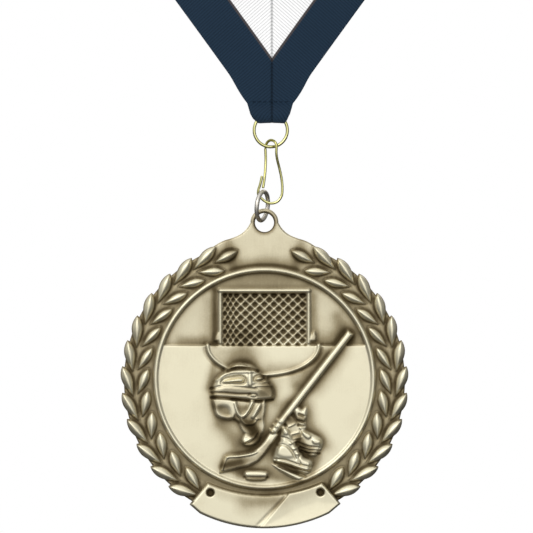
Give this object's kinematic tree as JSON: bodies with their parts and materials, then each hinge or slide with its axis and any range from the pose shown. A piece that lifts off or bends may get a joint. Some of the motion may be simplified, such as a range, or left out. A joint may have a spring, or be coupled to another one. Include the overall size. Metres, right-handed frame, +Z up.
{
  "type": "sports medal on neck ribbon",
  "caption": "Die-cast hockey medal with laurel wreath, hung by jump ring, wire snap clip and split ring from a two-colour V-neck ribbon.",
  "frame": {"origin": "middle of the ribbon's inner face where it rests on the back of the neck", "axes": "+Z up, -Y the way the medal's face looks, +X to the viewer's right"},
  "size_m": [0.2032, 0.2446, 0.3308],
  "materials": {
    "ribbon_weave": "woven grosgrain, half navy and half white",
    "sewing_thread": "matt navy thread",
    "bright_gold_wire": "bright gold plate",
    "nickel_wire": "nickel plate",
    "antique_gold": "antique gold with dark hollows"
  },
  "bodies": {
    "ribbon": {"neck_ribbon": "ribbon_weave", "mitre_seam_thread": "sewing_thread", "fold_seam_thread": "sewing_thread"},
    "split_ring": {"split_ring": "bright_gold_wire"},
    "snap_clip": {"snap_clip": "bright_gold_wire"},
    "clip_latch": {"clip_latch": "bright_gold_wire"},
    "jump_ring": {"jump_ring": "nickel_wire"},
    "medal": {"medal_casting": "antique_gold"}
  },
  "joints": [
    {"name": "split_ring_swing", "type": "hinge", "parent": "ribbon", "child": "split_ring", "pos_m": [-0.0003, -0.23743, -0.2197], "axis": [1, 0, 0], "range_deg": [-28, 28]},
    {"name": "clip_swing", "type": "hinge", "parent": "split_ring", "child": "snap_clip", "pos_m": [-0.00022, -0.23743, -0.2269], "axis": [0, 1, 0], "range_deg": [-20, 20]},
    {"name": "clip_latch_press", "type": "hinge", "parent": "snap_clip", "child": "clip_latch", "pos_m": [-0.00158, -0.23598, -0.22725], "axis": [0, -1, 0], "range_deg": [0, 14], "stiffness_Nm_per_rad": 0.02},
    {"name": "jump_ring_swing", "type": "hinge", "parent": "snap_clip", "child": "jump_ring", "pos_m": [-0.00216, -0.23743, -0.23975], "axis": [0.9203, -0.3746, -0.113], "range_deg": [-45, 45]},
    {"name": "medal_swing", "type": "hinge", "parent": "jump_ring", "child": "medal", "pos_m": [-0.00278, -0.23743, -0.24477], "axis": [0, 1, 0], "range_deg": [-30, 30]}
  ]
}
